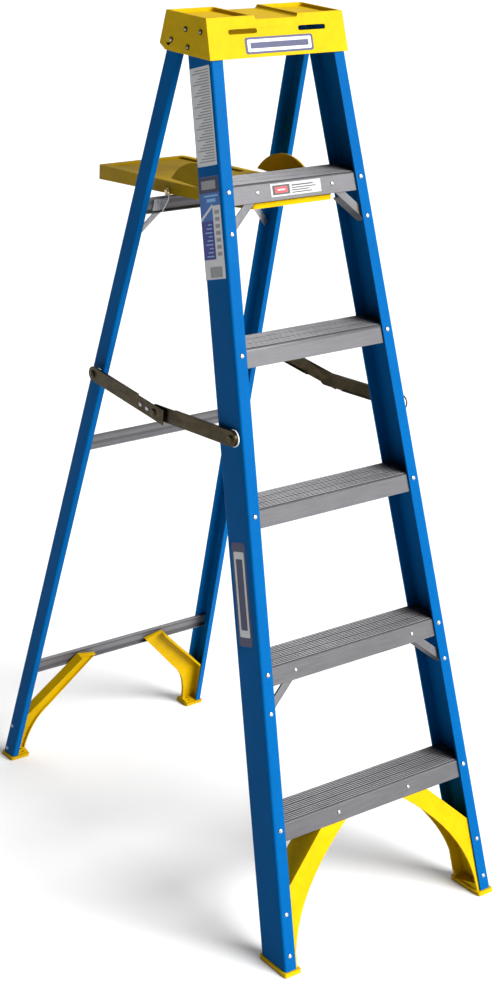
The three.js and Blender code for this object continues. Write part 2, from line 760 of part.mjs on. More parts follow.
// A pin along X with its head outside, at a point of the middle plane (y, z).
function addSidePins(group, name, x, y, z, shape, material) {
  const body = rivet(shape);
  for (const [side, sign] of [
    ["right", 1],
    ["left", -1],
  ]) {
    const pin = addPiece(group, `${name}_${side}`, body, material);
    pin.rotation.z = (sign * Math.PI) / 2;
    pin.position.set(sign * x, y, z);
  }
}
CAP_BOLTS.forEach(([y, z], i) => {
  const x = capHalf(z - 5) + GAP;
  const inside = frontHalf(frontSOf(y, z)) - FRONT_RAIL.wall;
  const shape = { ...CAP_BOLT, grip: x - inside + GAP + 0.3 };
  addSidePins(frontSection, `cap_bolt_${i + 1}`, x, y, z, shape, zincSteel);
});
{
  const x = capHalf(HINGE_Z - 6) + GAP;
  const inside = rearHalf(HINGE_S) - REAR_RAIL.wall;
  const shape = {
    head: 6,
    dome: 2.6,
    shank: HINGE_BOLT_RADIUS,
    grip: x - inside + 4 * GAP,
    tailHeight: 4,
  };
  addSidePins(frontSection, "rear_hinge_bolt", x, HINGE_Y, HINGE_Z, shape, zincSteel);
}

// ---- pail shelf ----
const shelfGroup = new THREE.Group();
shelfGroup.name = "pail_shelf_body";
rearFrame.add(shelfGroup);

const SHELF_PIN_RADIUS = 4;
const shelfTop = (y) =>
  SHELF.pivotZ + SHELF.topAbovePivot - (y - SHELF.pivotY) * Math.tan(SHELF.slope);
function pailShelf() {
  const { frontY, rearY, half, halfLip, wall, recess } = SHELF;
  const corner = 8;
  const plan = (inset) => {
    const shape = new THREE.Shape();
    const lip = frontY + inset;
    const back = rearY - inset;
    const side = half - inset;
    const nose = halfLip - inset;
    shape.moveTo(-nose + corner, lip);
    shape.lineTo(nose - corner, lip);
    shape.quadraticCurveTo(nose, lip, nose, lip + corner);
    shape.lineTo(side, lip + 46);
    shape.lineTo(side, back - corner);
    shape.quadraticCurveTo(side, back, side - corner, back);
    shape.lineTo(-side + corner, back);
    shape.quadraticCurveTo(-side, back, -side, back - corner);
    shape.lineTo(-side, lip + 46);
    shape.lineTo(-nose, lip + corner);
    shape.quadraticCurveTo(-nose, lip, -nose + corner, lip);
    return shape;
  };
  // The underside slopes: the tray is deeper at its rear edge.
  const depthAt = (y) =>
    lerp(SHELF.frontDepth, SHELF.rearDepth, (y - frontY) / (rearY - frontY));
  const tray = (x, y, t) => [x, y, shelfTop(y) - lerp(depthAt(y), 0, t)];
  const underside = (x, y, t) => [
    x,
    y,
    shelfTop(y) - lerp(depthAt(y) + 5, SHELF.floorBelowTop + wall, t),
  ];
  let shelf = sweep(plan(0), tray, 3).subtract(sweep(plan(wall), underside, 3));
  // Side guards: circle segments that stand on both long edges.
  const guard = new THREE.Shape();
  const { guardCentreY, guardCentreZ, guardRadius, guardReach: reach } = SHELF;
  const upright = Math.PI / 2;
  guard.absarc(guardCentreY, guardCentreZ, guardRadius, upright - reach, upright + reach);
  guard.closePath();
  const lug = new THREE.Shape().absarc(SHELF.pivotY, SHELF.pivotZ, SHELF.lug, 0, 2 * Math.PI);
  for (const sign of [1, -1]) {
    const side = (y, z, t) => [sign * lerp(half - SHELF.guardWall, half, t), y, z];
    shelf = shelf.add(sweep(guard, side, 14)).add(sweep(lug, side, 10));
    const bore = (x) => [sign * x, SHELF.pivotY, SHELF.pivotZ];
    const boreRadius = SHELF_PIN_RADIUS + GAP;
    shelf = shelf.subtract(rod(bore(half - 20), bore(half + 20), boreRadius, 16));
  }
  // The tray's recesses: one between the guards and one behind them.
  const sink = (x, y, t) => [x, y, shelfTop(y) + lerp(-recess.depth, 60, t)];
  for (const [y0, y1] of [
    [frontY + recess.fromFront, SHELF.pivotY - recess.fromPivot],
    [SHELF.pivotY + recess.fromPivot, rearY - recess.fromRear],
  ])
    shelf = shelf.subtract(
      sweep(roundedBox(-recess.half, y0, recess.half, y1, recess.corner), sink, 4),
    );
  // The upper front edge slopes, to swing past the step below.
  const { run, rise } = SHELF.nose;
  const nose = polygon([
    [frontY - run, shelfTop(frontY) - 2 * rise],
    [frontY + run, shelfTop(frontY)],
    [frontY + run, shelfTop(frontY) + run],
    [frontY - run, shelfTop(frontY) + run],
  ]);
  return shelf.subtract(sweep(nose, (y, z, t) => [lerp(-half - 5, half + 5, t), y, z]));
}
addPiece(shelfGroup, "pail_shelf", pailShelf(), yellowPlastic);

const BRACKET = { clearance: 0.8, sheet: 2.6 };
const SHELF_PIN_X = SHELF.half + BRACKET.clearance + BRACKET.sheet + GAP;

// Brackets on the top rear brace, outside the shelf, and the pins that it turns on.
function shelfBracket() {
  const depth = rearDepthOf(SHELF.pivotY, SHELF.pivotZ);
  const s = rearSOf(SHELF.pivotY, SHELF.pivotZ);
  const s0 = rearS(REAR_BRACES.top, BRACE_BACK);
  const back = BRACE_BACK - BRACE.sheet - GAP;
  const x0 = SHELF.half + BRACKET.clearance;
  const x1 = x0 + BRACKET.sheet;
  const lipEdge = BRACE_BACK - BRACE.lip - 2 * GAP;
  const cheek = new THREE.Shape();
  cheek.moveTo(back, s0 + BRACE.sheet + 1.2);
  cheek.lineTo(back, s0 + BRACE.height - BRACE.sheet - 1.2);
  cheek.lineTo(lipEdge, s0 + BRACE.height - BRACE.sheet - 1.2);
  cheek.lineTo(lipEdge, s0 + BRACE.height + 0.4);
  cheek.lineTo(depth + 5, s0 + BRACE.height + 0.4);
  cheek.absarc(depth, s, SHELF.lug, -0.7, Math.PI);
  cheek.lineTo(depth - SHELF.lug, s - 16);
  cheek.lineTo(lipEdge - 3, s0 + BRACE.sheet + 1.2);
  const plate = sweep(cheek, (d, sAt, t) => [lerp(x0, x1, t), d, sAt], 5);
  const tab = sweep(
    roundedBox(x0, s0 + BRACE.sheet + 1.2, x0 + 22, s0 + BRACE.height - BRACE.sheet - 1.2, 0.8),
    (x, sAt, t) => [x, lerp(back - 2.4, back, t), sAt],
    2,
  );
  return plate
    .add(tab)
    .subtract(rod([90, depth, s], [140, depth, s], SHELF_PIN_RADIUS + 0.3, 16));
}
addPair(rearRailSpace, "shelf_bracket", shelfBracket(), zincSteel);
addPair(rearRailSpace, "shelf_knee_strap", rearKneeStrap(), zincSteel);
addSidePins(
  rearFrame,
  "shelf_pin",
  SHELF_PIN_X,
  SHELF.pivotY,
  SHELF.pivotZ,
  {
    head: 7,
    dome: 3,
    shank: SHELF_PIN_RADIUS,
    grip: SHELF_PIN_X - SHELF.half + SHELF.guardWall + GAP,
    tailHeight: 2,
  },
  goldSteel,
);

// ---- spreaders ----
const L = SPREADER;
const FRONT_LINK_X = L.washerFace + L.washer + GAP;
const REAR_LINK_X = FRONT_LINK_X + L.depth + 0.5;

// A channel with round ends from one point to another (as [y, z]), its web outside. Past `bare`
// from the knee it has flanges, and nearer the knee it is a plain strap.
function link(from, knee, x0, { bare, past, square }) {
  const length = Math.hypot(knee[0] - from[0], knee[1] - from[1]);
  const along = [(knee[0] - from[0]) / length, (knee[1] - from[1]) / length];
  const up = [-along[1], along[0]];
  const h = L.height / 2;
  const lie = (xa, xb) => (a, b, t) => [
    lerp(xa, xb, t),
    from[0] + along[0] * a + up[0] * b,
    from[1] + along[1] * a + up[1] * b,
  ];
  const outline = (r, end) => {
    const shape = new THREE.Shape();
    shape.moveTo(0, -r);
    if (square) {
      shape.lineTo(end, -r);
      shape.lineTo(end, r);
    } else {
      shape.lineTo(length, -r);
      shape.absarc(length, 0, r, -Math.PI / 2, Math.PI / 2);
    }
    shape.lineTo(0, r);
    shape.absarc(0, 0, r, Math.PI / 2, 1.5 * Math.PI);
    return shape;
  };
  const x1 = x0 + L.depth;
  let body = sweep(outline(h, length + past), lie(x0, x1), 7);
  // Hollow between the flanges, closed at the rail's end by a rounded lip.
  const hollow = outline(h - L.sheet, length + past + 20);
  body = body.subtract(sweep(hollow, lie(x0 - 1, x1 - L.sheet), 7));
  const clear = polygon([
    [length - bare, -60],
    [length + 80, -60],
    [length + 80, 60],
    [length - bare, 60],
  ]);
  return body.subtract(sweep(clear, lie(x0 - 1, x1 - L.sheet)));
}

const pinHole = ([y, z], radius) => rod([195, y, z], [240, y, z], radius, 16);
const FRONT_PIVOT = [L.frontY, L.frontZ];
const KNEE = [L.kneeY, L.kneeZ];
const REAR_PIVOT = [L.rearY, L.rearZ];
const frontLink = link(FRONT_PIVOT, KNEE, FRONT_LINK_X, { bare: 60, past: 0 }).subtract(
  pinHole(FRONT_PIVOT, SPREADER_PIN_RADIUS + 0.3),
);
const rearLink = link(REAR_PIVOT, KNEE, REAR_LINK_X, { bare: 60, past: 33, square: true })
  .subtract(pinHole(REAR_PIVOT, SPREADER_PIN_RADIUS + 0.3))
  .subtract(pinHole(KNEE, SPREADER_PIN_RADIUS + 0.3));

for (const [end, body] of [
  ["front", frontLink],
  ["rear", rearLink],
]) {
  for (const [side, sign] of [
    ["right", 1],
    ["left", -1],
  ]) {
    const group = new THREE.Group();
    group.name = `spreader_${end}_${side}_body`;
    const mesh = addPiece(group, `spreader_${end}_link_${side}`, body, goldSteel);
    mesh.scale.x = sign;
    (end === "front" ? frontSection : rearFrame).add(group);
  }
}

// Washers hold the links off the rails' webs, and pins go through web, washer and link.
const ring = (radius, hole, x0, x1) => {
  const shape = new THREE.Shape().absarc(0, 0, radius, 0, 2 * Math.PI);
  shape.holes.push(new THREE.Path().absarc(0, 0, hole, 0, 2 * Math.PI, true));
  return (y, z) => sweep(shape, (a, b, t) => [lerp(x0, x1, t), y + a, z + b], 12);
};
addPair(
  frontSection,
  "spreader_washer_front",
  ring(17.5, SPREADER_PIN_RADIUS + 0.3, L.washerFace, L.washerFace + L.washer)(...FRONT_PIVOT),
  whiteNylon,
);
const REAR_SPACER_FACE = rearHalf(rearSOf(L.rearY, L.rearZ)) + 1.2;
addPair(
  rearFrame,
  "spreader_spacer_rear",
  ring(10, SPREADER_PIN_RADIUS + 0.3, REAR_SPACER_FACE, REAR_LINK_X - GAP)(...REAR_PIVOT),
  whiteNylon,
);
addSidePins(
  frontSection,
  "spreader_pin_front",
  FRONT_LINK_X + L.depth + GAP,
  L.frontY,
  L.frontZ,
  { head: 8, dome: 3, shank: SPREADER_PIN_RADIUS, grip: 17 },
  zincSteel,
);
addSidePins(
  rearFrame,
  "spreader_pin_rear",
  REAR_LINK_X + L.depth + GAP,
  L.rearY,
  L.rearZ,
  { head: 8, dome: 3, shank: SPREADER_PIN_RADIUS, grip: 23 },
  zincSteel,
);

// The knee rivets reach through the rear links only, so that the knees can part.
addSidePins(
  rearFrame,
  "spreader_knee_rivet",
  REAR_LINK_X + L.depth + GAP,
  L.kneeY,
  L.kneeZ,
  {
    head: 8,
    dome: 2.6,
    shank: SPREADER_PIN_RADIUS,
    grip: L.sheet + 2 * GAP,
    tail: 7,
    tailHeight: L.depth - L.sheet - GAP,
  },
  zincSteel,
);

export default ladder;
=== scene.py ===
"""Looks of the step ladder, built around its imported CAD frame.

Blender works in metres with +Z up and the steps facing -Y. Sizes below are in millimetres and
are turned into metres with MM where a point is made.
"""

import json
import math

import bmesh
import bpy
from mathutils import Matrix, Vector


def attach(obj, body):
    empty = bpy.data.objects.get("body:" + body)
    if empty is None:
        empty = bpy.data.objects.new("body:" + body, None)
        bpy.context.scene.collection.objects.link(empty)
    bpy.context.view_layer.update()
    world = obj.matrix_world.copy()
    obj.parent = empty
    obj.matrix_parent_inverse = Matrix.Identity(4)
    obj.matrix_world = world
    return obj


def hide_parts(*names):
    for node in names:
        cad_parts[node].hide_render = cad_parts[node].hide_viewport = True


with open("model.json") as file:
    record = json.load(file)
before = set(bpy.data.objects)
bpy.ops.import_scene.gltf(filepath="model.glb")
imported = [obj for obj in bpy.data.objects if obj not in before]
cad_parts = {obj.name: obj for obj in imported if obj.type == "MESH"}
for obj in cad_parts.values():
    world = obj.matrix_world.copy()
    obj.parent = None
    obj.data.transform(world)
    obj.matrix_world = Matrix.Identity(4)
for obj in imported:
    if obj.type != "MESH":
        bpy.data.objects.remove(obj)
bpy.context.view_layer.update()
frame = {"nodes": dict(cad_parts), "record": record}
NODE_BODY = {
    node: body
    for body, nodes in frame["record"]["behaviour"]["bodies"].items()
    for node in nodes
}
MM = 0.001
SIDES = (("right", 1), ("left", -1))

# ---- the rails' planes, the same as in the CAD source ----
TAPER_HEIGHT = 1720  # the height over which the rails come together by their taper
FRONT_LEAN = math.radians(16.7)
FRONT_BASE_Y = -530.7
FRONT_HALF, FRONT_TAPER = 276, 117
FRONT_OUT = Vector((0, -math.cos(FRONT_LEAN), math.sin(FRONT_LEAN)))
REAR_LEAN = math.radians(14)
REAR_BASE_Y = 63.3 + TAPER_HEIGHT * math.tan(REAR_LEAN)
REAR_HALF, REAR_TAPER = 270.5, 110
REAR_OUT = Vector((0, math.cos(REAR_LEAN), math.sin(REAR_LEAN)))


def front_half(s):
    """Half of the width over the front rails, at a distance s along them."""
    return FRONT_HALF - FRONT_TAPER * s * math.cos(FRONT_LEAN) / TAPER_HEIGHT


def rear_half(s):
    """Half of the width over the rear rails, at a distance s along them."""
    return REAR_HALF - REAR_TAPER * s * math.cos(REAR_LEAN) / TAPER_HEIGHT


def front_point(x, depth, s):
    """A point in the front rails' own space: across, behind their front face, along them."""
    c, n = math.cos(FRONT_LEAN), math.sin(FRONT_LEAN)
    return Vector((x, FRONT_BASE_Y + depth * c + s * n, s * c - depth * n)) * MM


def rear_point(x, depth, s):
    """A point in the rear rails' own space: across, behind their front face, along them."""
    c, n = math.cos(REAR_LEAN), math.sin(REAR_LEAN)
    return Vector((x, REAR_BASE_Y + depth * c - s * n, s * c + depth * n)) * MM


# ---- materials ----
class Nodes:
    """A small helper to write a node tree."""

    def __init__(self, name):
        self.material = bpy.data.materials.new(name)
        self.material.use_nodes = True
        self.tree = self.material.node_tree
        self.shader = self.tree.nodes["Principled BSDF"]
        self.coords = self.tree.nodes.new("ShaderNodeTexCoord").outputs["Object"]

    def add(self, kind, inputs=(), **settings):
        node = self.tree.nodes.new("ShaderNode" + kind)
        for key, value in settings.items():
            setattr(node, key, value)
        for key, value in dict(inputs).items():
            self.put(value, node.inputs[key])
        return node

    def put(self, value, socket):
        """Links a socket to another, or sets its value."""
        if isinstance(value, bpy.types.NodeSocket):
            self.tree.links.new(value, socket)
        else:
            socket.default_value = value

    def link(self, socket, key):
        self.tree.links.new(socket, self.shader.inputs[key])

    def mapped(self, scale=(1, 1, 1), turn=(0, 0, 0)):
        inputs = {"Vector": self.coords, "Scale": scale, "Rotation": turn}
        return self.add("Mapping", inputs).outputs["Vector"]

    def noise(self, scale, detail=4, roughness=0.6, vector=None):
        inputs = {
            "Vector": vector or self.coords,
            "Scale": scale,
            "Detail": detail,
            "Roughness": roughness,
        }
        return self.add("TexNoise", inputs).outputs["Fac"]

    def ramp(self, value, stops):
        """A map from a value to a colour, with stops of (position, colour)."""
        node = self.add("ValToRGB", {"Fac": value})
        elements = node.color_ramp.elements
        while len(elements) < len(stops):
            elements.new(0.5)
        for element, (at, color) in zip(elements, stops):
            element.position = at
            element.color = (*color, 1)
        return node.outputs["Color"]

    def span(self, value, low, high, start=0.3, end=0.7):
        """A map from a value between start and end to a number between low and high."""
        inputs = {
            "Value": value,
            "From Min": start,
            "From Max": end,
            "To Min": low,
            "To Max": high,
        }
        return self.add("MapRange", inputs).outputs["Result"]

    def times(self, color, factor):
        """A colour multiplied by another colour or by a number."""
        node = self.add("Mix", data_type="RGBA", blend_type="MULTIPLY")
        return self.mixed(node, 1.0, color, factor)

    def mix(self, share, a, b):
        """A colour between a and b."""
        return self.mixed(self.add("Mix", data_type="RGBA", blend_type="MIX"), share, a, b)

    def mixed(self, node, share, a, b):
        # The colour inputs share the names A and B with other kinds, so they go by number.
        self.put(share, node.inputs["Factor"])
        self.put(a, node.inputs[6])
        self.put(b, node.inputs[7])
        return node.outputs[2]

    def bump(self, heights, distance):
        """Bumps from several (height, strength) pairs, one on top of the other."""
        normal = None
        for height, strength in heights:
            inputs = {"Height": height, "Strength": strength, "Distance": distance}
            if normal is not None:
                inputs["Normal"] = normal
            normal = self.add("Bump", inputs).outputs["Normal"]
        self.link(normal, "Normal")

    def facing_up(self):
        """1 where the surface faces up and 0 where it doesn't."""
        normal = self.add("NewGeometry").outputs["Normal"]
        z = self.add("SeparateXYZ", {"Vector": normal}).outputs["Z"]
        return self.span(z, 0, 1, 0.75, 0.95)


def fibreglass(name, lean):
    """Pultruded fibreglass, with streaks along a rail that leans by an angle about X."""
    n = Nodes(name)
    along = n.mapped((1, 1, 0.035), (lean, 0, 0))
    streaks = n.noise(420, 5, 0.65, along)
    clouds = n.noise(7, 3, 0.5)
    grain = n.noise(1500, 2, 0.5)
    tints = [(0.25, (0.0, 0.074, 0.24)), (0.6, (0.0, 0.09, 0.285)), (0.85, (0.0, 0.106, 0.33))]
    shade = n.ramp(clouds, [(0.3, (0.86, 0.88, 0.9)), (0.7, (1, 1, 1))])
    n.link(n.times(n.ramp(streaks, tints), shade), "Base Color")
    n.link(n.span(streaks, 0.34, 0.52), "Roughness")
    n.bump([(streaks, 0.22), (grain, 0.1)], 0.0004)
    n.shader.inputs["Specular IOR Level"].default_value = 0.02
    return n.material


def moulded(name, stops, roughness, brightening=()):
    """A moulded plastic with a fine pebbled skin and scuffs.

    The last argument holds (axis, start, end, gain): along the axis, the colour rises to gain
    times itself between start and end, in metres; at the shelf's right guard it is painted light.
    """
    n = Nodes(name)
    clouds = n.noise(11, 4, 0.55)
    scuffs = n.noise(60, 6, 0.75, n.mapped((1, 0.25, 1), (0, 0, 0.5)))
    skin = n.noise(900, 2, 0.5)
    color = n.ramp(clouds, stops)
    # A rise of the colour along an axis: painted light where it lifts the shelf's shaded right
    # guard.
    for axis, start, end, gain in brightening:
        place = n.add("SeparateXYZ", {"Vector": n.coords}).outputs[axis]
        color = n.times(color, n.span(place, 1, gain, start, end))
    worn = n.ramp(scuffs, [(0.42, (0.93, 0.93, 0.93)), (0.56, (1, 1, 1))])
    n.link(n.times(color, worn), "Base Color")
    n.link(n.span(scuffs, roughness - 0.07, roughness + 0.08), "Roughness")
    n.bump([(skin, 0.25), (scuffs, 0.12)], 0.0005)
    n.shader.inputs["Specular IOR Level"].default_value = 0.05
    return n.material


def extruded_aluminium(name, is_tread):
    """Drawn aluminium: treads are darker where they face up, as painted shade mixed with stains,
    and braces have shallow grooves with painted highlights in bands.
    """
    n = Nodes(name)
    lines = n.noise(900, 4, 0.6, n.mapped((0.02, 1, 1)))
    stains = n.noise(14, 5, 0.6)
    color = n.ramp(lines, [(0.3, (0.074, 0.072, 0.077)), (0.7, (0.104, 0.102, 0.108))])
    shade = n.ramp(stains, [(0.35, (0.88, 0.88, 0.89)), (0.65, (1, 1, 1))])
    color = n.times(color, shade)
    heights = [(lines, 0.2), (stains, 0.05)]
    if is_tread:
        # Painted shade on the treads' up-facing tops, varied by stains.
        tread_shade = n.ramp(stains, [(0.35, (0.054, 0.052, 0.056)), (0.65, (0.077, 0.075, 0.08))])
        color = n.mix(n.facing_up(), color, tread_shade)
    else:
        wave = n.add("TexWave", {"Vector": n.coords, "Scale": 15}, bands_direction="Z")
        grooves_and_highlights = wave.outputs["Fac"]
        # Brighter bands: painted highlights on the braces; the bump from the same bands gives the
        # grooves.
        color = n.times(color, n.span(grooves_and_highlights, 1.0, 1.75, 0.15, 0.5))
        heights.append((grooves_and_highlights, 0.9))
    n.link(color, "Base Color")
    n.link(n.span(lines, 0.34, 0.5), "Roughness")
    n.bump(heights, 0.0004)
    n.shader.inputs["Metallic"].default_value = 0.45
    return n.material


def plated(name, stops, roughness, metallic=0.95):
    """Plated steel, with the faint colours of its passivation."""
    n = Nodes(name)
    bands = n.noise(38, 4, 0.6, n.mapped((1, 0.5, 1), (0.3, 0.2, 0)))
    scratches = n.noise(700, 3, 0.6, n.mapped((1, 0.06, 1), (0.2, 0, 0)))
    n.link(n.ramp(bands, stops), "Base Color")
    n.link(n.span(scratches, roughness - 0.07, roughness + 0.12), "Roughness")
    n.bump([(scratches, 0.16), (bands, 0.06)], 0.0003)
    n.shader.inputs["Metallic"].default_value = metallic
    return n.material


def printed(name, color, spread=0.05):
    """Printed film, a little uneven: its colour varies by spread, as a share."""
    n = Nodes(name)
    clouds = n.noise(35, 4, 0.6)
    fibres = n.noise(600, 3, 0.5)
    low = tuple(c * (1 - spread) for c in color)
    n.link(n.ramp(clouds, [(0.35, low), (0.65, color)]), "Base Color")
    n.link(n.span(fibres, 0.36, 0.5), "Roughness")
    n.bump([(clouds, 0.08), (fibres, 0.08)], 0.0003)
    return n.material


# Colours are linear red, green and blue, at places in a noise.
YELLOW = [(0.3, (0.5, 0.315, 0.0)), (0.7, (0.56, 0.365, 0.0))]
# A darker yellow, for the rear foot braces.
DARKER_YELLOW = [(0.3, (0.42, 0.25, 0.0)), (0.7, (0.5, 0.31, 0.0))]
SHELF_YELLOW = [(0.3, (0.27, 0.165, 0.0)), (0.7, (0.36, 0.23, 0.0))]
NYLON = [(0.3, (0.78, 0.78, 0.75)), (0.7, (0.88, 0.88, 0.86))]
# Near black: painted shade for the recesses round the cap's fasteners.
RECESS_SHADE = [(0.3, (0.012, 0.01, 0.008)), (0.7, (0.03, 0.026, 0.02))]
# A dark, dull zinc for the knee braces under the steps; its darkness is painted shade.
SHADED_DULL_ZINC = [
    (0.3, (0.06, 0.06, 0.064)),
    (0.55, (0.09, 0.09, 0.095)),
    (0.8, (0.072, 0.076, 0.084)),
]
ZINC = [(0.3, (0.3, 0.31, 0.34)), (0.55, (0.42, 0.42, 0.43)), (0.8, (0.34, 0.36, 0.41))]
YELLOW_ZINC = [
    (0.25, (0.014, 0.012, 0.007)),
    (0.42, (0.031, 0.022, 0.009)),
    (0.55, (0.050, 0.037, 0.016)),
    (0.68, (0.025, 0.024, 0.013)),
    (0.8, (0.038, 0.018, 0.010)),
]
BRASS = [(0.3, (0.62, 0.45, 0.14)), (0.7, (0.82, 0.66, 0.28))]
# The shelf's colour is lifted at its front edge, and at its right guard it is painted light against
# the shade that falls there.
SHELF_BRIGHTENING = [("Y", -0.055, -0.08, 1.7), ("X", 0.098, 0.105, 2.0)]
LOOKS = {
    "blue_front": fibreglass("blue_fibreglass_front", FRONT_LEAN),
    "blue_rear": fibreglass("blue_fibreglass_rear", -REAR_LEAN),
    "yellow": moulded("yellow_moulding", YELLOW, 0.42),
    "ochre": moulded("yellow_moulding_rear", DARKER_YELLOW, 0.46),
    "shelf": moulded("yellow_moulding_shelf", SHELF_YELLOW, 0.46, SHELF_BRIGHTENING),
    "knee": plated("dull_zinc_painted_shade", SHADED_DULL_ZINC, 0.5, 0.3),
    "step": extruded_aluminium("ribbed_aluminium", is_tread=True),
    "brace": extruded_aluminium("plain_aluminium", is_tread=False),
    "zinc": plated("zinc_plate", ZINC, 0.28),
    "gold": plated("yellow_zinc", YELLOW_ZINC, 0.3),
    "brass": plated("brass_plate", BRASS, 0.28),
    "nylon": moulded("white_nylon", NYLON, 0.45),
    "painted_shade": moulded("painted_recess_shade", RECESS_SHADE, 0.6),
    "film_grey": printed("film_grey", (0.56, 0.57, 0.59)),
    "film_pale": printed("film_pale", (0.5, 0.51, 0.52)),
    "film_white": printed("film_white", (0.42, 0.42, 0.42)),
    "film_navy": printed("film_navy", (0.002, 0.006, 0.075), 0.3),
    "film_ink": printed("film_ink", (0.004, 0.008, 0.24), 0.3),
    "film_blue": printed("film_blue", (0.0, 0.11, 0.42), 0.15),
    "film_light": printed("film_light", (0.2, 0.42, 0.7), 0.1),
    "film_black": printed("film_black", (0.02, 0.02, 0.024), 0.3),
    "film_red": printed("film_red", (0.55, 0.02, 0.03), 0.2),
    "film_dust": printed("film_dust", (0.24, 0.245, 0.25)),
}

# ---- meshes ----
FLAT_SMOOTHING = 35  # degrees: edges that turn by more stay sharp
TURNED_SMOOTHING = 50
WELD = 0.005  # points of a solid closer than this are one
FLAT_TURN = math.radians(0.6)  # faces that turn by less are one
BEVEL_TURN = math.radians(28)  # edges that turn by more are rounded
BEVEL_STEPS = 2


def finish_mesh(bm, name, look, body, smoothing=FLAT_SMOOTHING):
    """Turns a bmesh into a shown piece that rides on a body."""
    mesh = bpy.data.meshes.new(name)
    bmesh.ops.recalc_face_normals(bm, faces=bm.faces)
    bm.to_mesh(mesh)
    bm.free()
    mesh.polygons.foreach_set("use_smooth", [True] * len(mesh.polygons))
    mesh.set_sharp_from_angle(angle=math.radians(smoothing))
    mesh.materials.append(LOOKS[look])
    piece = bpy.data.objects.new(name, mesh)
    bpy.context.scene.collection.objects.link(piece)
    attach(piece, body)
    return piece


def dress(node, look, radius):
    """A copy of a CAD node with its flat faces joined up and its edges rounded."""
    bm = bmesh.new()
    bm.from_mesh(frame["nodes"][node].data)
    bmesh.ops.remove_doubles(bm, verts=bm.verts, dist=WELD * MM)
    bmesh.ops.dissolve_limit(
        bm,
        angle_limit=FLAT_TURN,
        verts=bm.verts,
        edges=bm.edges,
        delimit={"NORMAL"},
    )
    bmesh.ops.connect_verts_concave(bm, faces=bm.faces)
    piece = finish_mesh(bm, f"{node}.dressed", look, NODE_BODY[node])
    bevel = piece.modifiers.new("edges", "BEVEL")
    bevel.width = radius * MM
    bevel.segments = BEVEL_STEPS
    bevel.limit_method = "ANGLE"
    bevel.angle_limit = BEVEL_TURN
    bevel.use_clamp_overlap = True
    bevel.harden_normals = True
    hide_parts(node)


# Nodes that are shown as dressed copies: name, look, radius of the edges. A name without its
# side stands for both sides.
DRESSED = [
    ("top_cap", "yellow", 1.4),
    ("front_rail", "blue_front", 0.5),
    ("rear_rail", "blue_rear", 0.5),
    ("front_foot_brace", "yellow", 1.0),
    ("rear_foot_brace", "ochre", 0.9),
    ("step_1", "step", 0.22),
    ("step_2", "step", 0.22),
    ("step_3", "step", 0.22),
    ("step_4", "step", 0.22),
    ("step_5", "step", 0.22),
    ("step_2_knee_brace", "knee", 0.35),
    ("step_5_knee_brace", "knee", 0.35),
    ("rear_brace_bottom", "brace", 0.4),
    ("rear_brace_middle", "brace", 0.4),
    ("rear_brace_top", "brace", 0.4),
    ("shelf_bracket", "zinc", 0.3),
    ("shelf_knee_strap", "zinc", 0.3),
    ("pail_shelf", "shelf", 1.2),
    ("spreader_front_link", "gold", 0.4),
    ("spreader_rear_link", "gold", 0.4),
    ("spreader_washer_front", "nylon", 0.25),
    ("spreader_spacer_rear", "nylon", 0.25),
]
for stem, look, radius in DRESSED:
    if stem in NODE_BODY:
        dress(stem, look, radius)
    else:
        for side, _ in SIDES:
            dress(f"{stem}_{side}", look, radius)

# ---- rivets, bolts and pins ----
TURNED_SIDES = 28
RIM_STEPS = 6


def lathe(bm, profile, origin, axis):
    """Adds a turned shape: profile holds (radius, height) along the axis, in order along it."""
    axis = Vector(axis).normalized()
    side = axis.orthogonal().normalized()
    other = axis.cross(side)
    rings = []
    for radius, height in profile:
        if radius == 0:
            rings.append([bm.verts.new(origin + axis * height * MM)])
            continue
        ring = []
        for i in range(TURNED_SIDES):
            a = 2 * math.pi * i / TURNED_SIDES
            out = side * math.cos(a) + other * math.sin(a)
            ring.append(bm.verts.new(origin + (out * radius + axis * height) * MM))
        rings.append(ring)
    for low, high in zip(rings, rings[1:]):
        for i in range(TURNED_SIDES):
            j = (i + 1) % TURNED_SIDES
            if len(low) == 1:
                bm.faces.new((low[0], high[i], high[j]))
            elif len(high) == 1:
                bm.faces.new((low[i], high[0], low[j]))
            else:
                bm.faces.new((low[i], high[i], high[j], low[j]))


def rivet_profile(head, dome, shank):
    """A domed head with a dimple and a sunk rim, from its top down to the shank's end."""
    points = [(0, dome * 0.86), (head * 0.16, dome * 0.87), (head * 0.22, dome)]
    for k in range(1, RIM_STEPS + 1):
        a = k / RIM_STEPS * math.pi / 2
        points.append((head * (0.3 + 0.7 * math.sin(a)), dome * math.cos(a) ** 0.8))
    sunk, neck = -0.1, head * 0.55
    points += [(head, sunk), (neck, sunk), (neck, -shank), (0, -shank)]
    return points


def rivets(name, places, body, shape, look="zinc", stands_for=None):
    """One piece that holds several rivets.

    places holds (seat of the head, direction out). shape holds the head's radius, its height and
    the shank's length. stands_for is the CAD node that the piece takes the place of.
    """
    bm = bmesh.new()
    for origin, axis in places:
        lathe(bm, rivet_profile(*shape), origin, axis)
    piece = finish_mesh(bm, name, look, body, TURNED_SMOOTHING)
    if stands_for:
        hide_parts(stands_for)


def seat_of(node, axis, dome):
    """Where the head of a CAD rivet sits, from the node's own points and its dome's height."""
    axis = Vector(axis).normalized()
    side = axis.orthogonal().normalized()
    other = axis.cross(side)
    points = [v.co for v in frame["nodes"][node].data.vertices]

    def middle(direction):
        values = [p.dot(direction) for p in points]
        return (min(values) + max(values)) / 2

    top = max(p.dot(axis) for p in points)
    return side * middle(side) + other * middle(other) + axis * (top - dome * MM)


STEPS = 5
STEP_RIVET_DOME = 2.6  # in the solids
STEP_RIVET = (5, 2.4, 8)  # as shown: radius of the head, its height, length of the shank
for k in range(1, STEPS + 1):
    for side, _ in SIDES:
        node = f"step_{k}_rivet_{side}"
        place = (seat_of(node, FRONT_OUT, STEP_RIVET_DOME), FRONT_OUT)
        rivets(f"{node}.dressed", [place], NODE_BODY[node], STEP_RIVET, stands_for=node)

